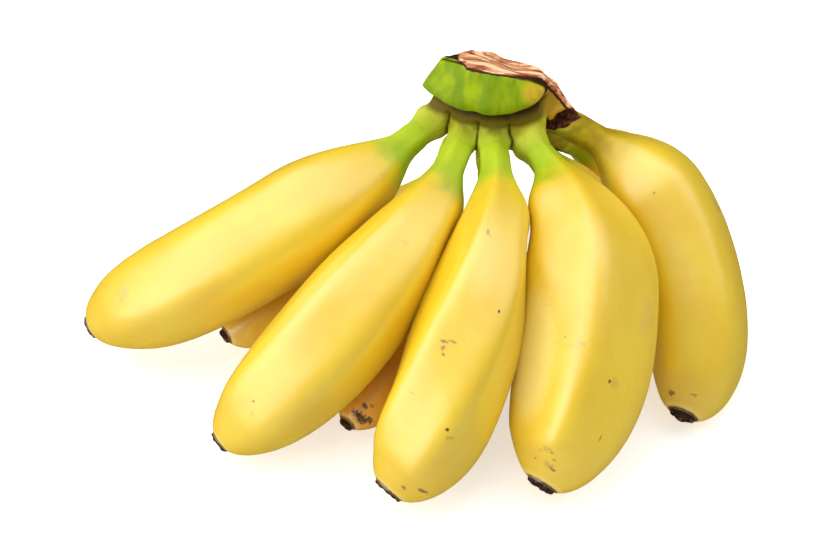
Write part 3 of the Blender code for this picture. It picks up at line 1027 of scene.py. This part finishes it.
def flower_end_material():
    """Dried, cracked, nearly black flower end."""
    looks = Looks("dried_flower_end")
    spot = looks.spot("straight")
    lumps = looks.grain(spot, 500, 4.0, 0.65)
    edges = {"Vector": spot, "Scale": 900.0}
    cracks = looks.node("ShaderNodeTexVoronoi", edges, feature="DISTANCE_TO_EDGE").outputs[0]
    colour = looks.blend(looks.span(lumps, 0.40, 0.66), END_BLACK, END_BROWN)
    colour = looks.tint(colour, END_TAN, lumps, 0.58, 0.72)
    colour = looks.tint(colour, END_CRACKS, cracks, 0.10, 0.02)
    looks.give("Base Color", colour)
    looks.give("Roughness", looks.span(lumps, 0.3, 0.7, 0.75, 0.95))
    height = looks.plus(lumps, looks.span(cracks, 0.0, 0.12, 0.0, 0.5))
    looks.give("Normal", looks.bump(height, 0.8, 0.0005))
    return looks.material


# Colours of the crown and its dried cut, and the brown and olive of painted shade under the lip and in the
# crevices.
CUSHION_GREEN = linear(142, 164, 0)
CUSHION_LIGHT = linear(160, 182, 0)
CUSHION_DEEP = linear(112, 142, 0)
PATCH_YELLOW = linear(204, 180, 34)
PATCH_ORANGE = linear(206, 156, 44)
CROWN_OLIVE = linear(158, 150, 30)
CROWN_PALE = linear(186, 184, 52)
SHADE_BROWN = linear(58, 40, 2)
GROOVE_SHADE_OLIVE = linear(104, 82, 4)
CUT_TAN = linear(204, 134, 88)
CUT_CREAM = linear(252, 212, 166)
CUT_DARK = linear(134, 64, 34)
RIM_DARK = linear(66, 26, 14)
HOLLOW_DARK = linear(52, 26, 12)
FACET_OLIVE = linear(184, 142, 34)


def cushion_colour(looks, place, patches):
    """Mottled green of the thick cushion, with its yellow patch."""
    clouds = looks.grain(place, 150, 2.0, 0.5, (1.5, 1.0, 0.3))
    colour = looks.blend(looks.span(clouds, 0.36, 0.62), CUSHION_DEEP, CUSHION_GREEN)
    colour = looks.tint(colour, CUSHION_LIGHT, clouds, 0.52, 0.72, 0.7)
    colour = looks.tint(colour, CUSHION_LIGHT, patches, 0.50, 0.75, 0.16)
    patch = looks.span(looks.plus(looks.attribute("patch"), looks.times(patches, 0.25)), 0.35, 0.85)
    patch_or_shade_tint = looks.blend(looks.span(patches, 0.45, 0.6), PATCH_YELLOW, PATCH_ORANGE)
    return looks.blend(looks.times(patch, 0.85), colour, patch_or_shade_tint)


def block_colour(looks, stalk, patches):
    """Olive block with the starts of the stalks, and painted shade in the groove under the lip and in the
    crevices.
    """
    facet = looks.attribute("facet")
    colour = looks.blend(looks.span(patches, 0.3, 0.8), CROWN_OLIVE, CROWN_PALE)
    colour = looks.blend(facet, colour, FACET_OLIVE)
    colour = looks.blend(looks.attribute("stub"), colour, stalk)
    # Painted shade in the groove under the cushion's lip, weaker on the right facet.
    groove = looks.span(looks.ragged(looks.attribute("groove"), patches, 0.5), 0.1, 0.7)
    groove = looks.times(groove, looks.span(facet, 0.2, 1.0, 0.9, 0.35))
    colour = looks.blend(groove, colour, GROOVE_SHADE_OLIVE)
    # Painted shade in the crevices between the stalks.
    crevice = looks.ragged(looks.attribute("crevice"), patches, 0.8)
    return looks.blend(looks.span(crevice, 0.40, 1.0, 0.0, 0.85), colour, SHADE_BROWN)


def crown_material():
    """Green crown with painted shade under its lip and in its crevices, stalk starts, dried rims and a
    fibrous cut.
    """
    looks = Looks("crown_skin_and_cut")
    place = looks.node("ShaderNodeTexCoord", {}).outputs["Object"]
    stalk, stalk_height, _, _ = peel_parts(looks, looks.spot("straight"), looks.attribute("along"))

    patches = looks.grain(place, 420, 3.0, 0.6)
    pores = looks.grain(place, 2400)
    block = block_colour(looks, stalk, patches)
    cushion = cushion_colour(looks, place, patches)
    colour = looks.blend(looks.attribute("cushion"), block, cushion)
    # A line of painted shade under the cushion's lip.
    lip = looks.span(looks.ragged(looks.attribute("lip"), patches, 0.5), 0.35, 0.9)
    colour = looks.blend(lip, colour, SHADE_BROWN)

    rim = looks.ragged(looks.attribute("rim"), patches, 0.9)
    colour = looks.tint(colour, RIM_DARK, rim, 0.35, 0.75)
    fibres = looks.grain(place, 900, 4.0, 0.65, (0.06, 1.0, 1.0))
    layers = looks.grain(place, 300, 3.0, 0.6, (0.22, 1.0, 1.0))
    cut = looks.blend(looks.span(layers, 0.40, 0.53), CUT_DARK, CUT_TAN)
    cut = looks.tint(cut, CUT_CREAM, layers, 0.52, 0.60, 0.85)
    cut = looks.tint(cut, CUT_CREAM, fibres, 0.50, 0.64, 0.5)
    cut = looks.tint(cut, RIM_DARK, fibres, 0.42, 0.32, 0.6)
    inner = looks.attribute("cut")
    colour = looks.tint(colour, cut, inner, 0.3, 0.95)
    nick = looks.ragged(looks.attribute("nick"), fibres, 0.9)
    colour = looks.tint(colour, HOLLOW_DARK, nick, 0.40, 0.75)
    hollow = looks.span(looks.ragged(looks.attribute("hollow"), patches, 0.5), 0.3, 0.7)
    dried = looks.blend(looks.span(looks.grain(place, 700, 4.0, 0.7), 0.45, 0.7), HOLLOW_DARK, CUT_DARK)
    colour = looks.blend(hollow, colour, dried)

    height = looks.plus(looks.times(pores, 0.3), looks.times(patches, 0.4))
    height = looks.plus(height, looks.times(inner, looks.plus(fibres, layers)))
    height = looks.plus(height, looks.times(hollow, looks.times(fibres, 1.5)))
    roughness = looks.plus(SKIN_ROUGHNESS, looks.times(patches, SKIN_ROUGHNESS_VARIES))
    roughness = looks.clipped(roughness, looks.times(looks.clipped(inner, hollow), 0.4))
    normal = looks.bump(stalk_height, 0.15, 0.00012, looks.bump(height, 0.45, 0.00035))
    looks.living_skin(colour, roughness, normal, 0.08, CROWN_GLOW)
    return looks.material


def build_hand():
    """Makes every piece of the hand and ties it to the frame."""
    dried = flower_end_material()
    pieces = []
    for index in range(len(FRUITS)):
        piece = fruit_piece(index)
        piece.data.materials.append(peel_material(index))
        piece.data.materials.append(dried)
        pieces.append(piece)
    crown = crown_piece()
    crown.data.materials.clear()
    crown.data.materials.append(crown_material())
    pieces.append(crown)
    for piece in pieces:
        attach(piece, "root")
        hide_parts("banana_hand")


# The camera stands about two thirds of a metre away and looks down on the hand.
CAMERA_TARGET = Vector((0.00068, 0.00630, 0.02510))
CAMERA_ELEVATION = math.radians(53)
CAMERA_DISTANCE = 0.665
CAMERA_LENS = 100
CAMERA_SENSOR = 36

# How bright the white surround is. Like the floor, it doesn't show in the gloss of the peel.
SURROUND = 0.44
FLOOR_SIZE = 8.0
FLOOR_PALENESS = 0.78
FLOOR_GLOW = 0.50

# The soft lights: name, place and size in metres, power in watts and colour.
LIGHTS = (
    ("key", (-0.28, 0.18, 0.96), 1.15, 8.6, (1, 0.99, 0.97)),
    ("left", (-0.92, -0.42, 0.42), 1.0, 7.4, (1, 0.99, 0.97)),
    ("right", (0.66, 0.20, 0.85), 0.90, 3.4, (1, 1, 1)),
)


def camera():
    """The camera at the photograph's viewing angle."""
    away = Vector((0, -math.cos(CAMERA_ELEVATION), math.sin(CAMERA_ELEVATION)))
    made = bpy.data.objects.new("camera", bpy.data.cameras.new("camera"))
    made.data.lens = CAMERA_LENS
    made.data.sensor_width = CAMERA_SENSOR
    made.data.clip_end = 50
    made.location = CAMERA_TARGET + away * CAMERA_DISTANCE
    made.rotation_euler = away.to_track_quat("Z", "Y").to_euler()
    bpy.context.scene.collection.objects.link(made)
    bpy.context.scene.camera = made


def area_light(name, place, size, power, colour):
    """A square soft light that looks at the hand."""
    made = bpy.data.objects.new(name, bpy.data.lights.new(name, "AREA"))
    made.data.size = size
    made.data.energy = power
    made.data.color = colour
    made.location = place
    made.rotation_euler = (Vector(place) - CAMERA_TARGET).to_track_quat("Z", "Y").to_euler()
    bpy.context.scene.collection.objects.link(made)


def studio():
    """A pale floor, soft light from the upper left and a white surround."""
    shape = bmesh.new()
    bmesh.ops.create_grid(shape, x_segments=1, y_segments=1, size=FLOOR_SIZE / 2)
    floor = finished("floor", shape)
    looks = Looks("pale_floor")
    looks.give("Base Color", (FLOOR_PALENESS,) * 3)
    looks.give("Roughness", 0.9)
    looks.give("Emission Color", (1.0, 1.0, 1.0))
    looks.give("Emission Strength", FLOOR_GLOW)
    floor.data.materials.append(looks.material)
    floor.visible_glossy = False
    for light in LIGHTS:
        area_light(*light)
    world = bpy.data.worlds.new("surround")
    world.use_nodes = True
    background = world.node_tree.nodes["Background"]
    background.inputs["Color"].default_value = (1, 1, 1, 1)
    background.inputs["Strength"].default_value = SURROUND
    world.cycles_visibility.glossy = False
    bpy.context.scene.world = world
    bpy.context.scene.view_settings.view_transform = "Standard"


build_hand()
camera()
studio()
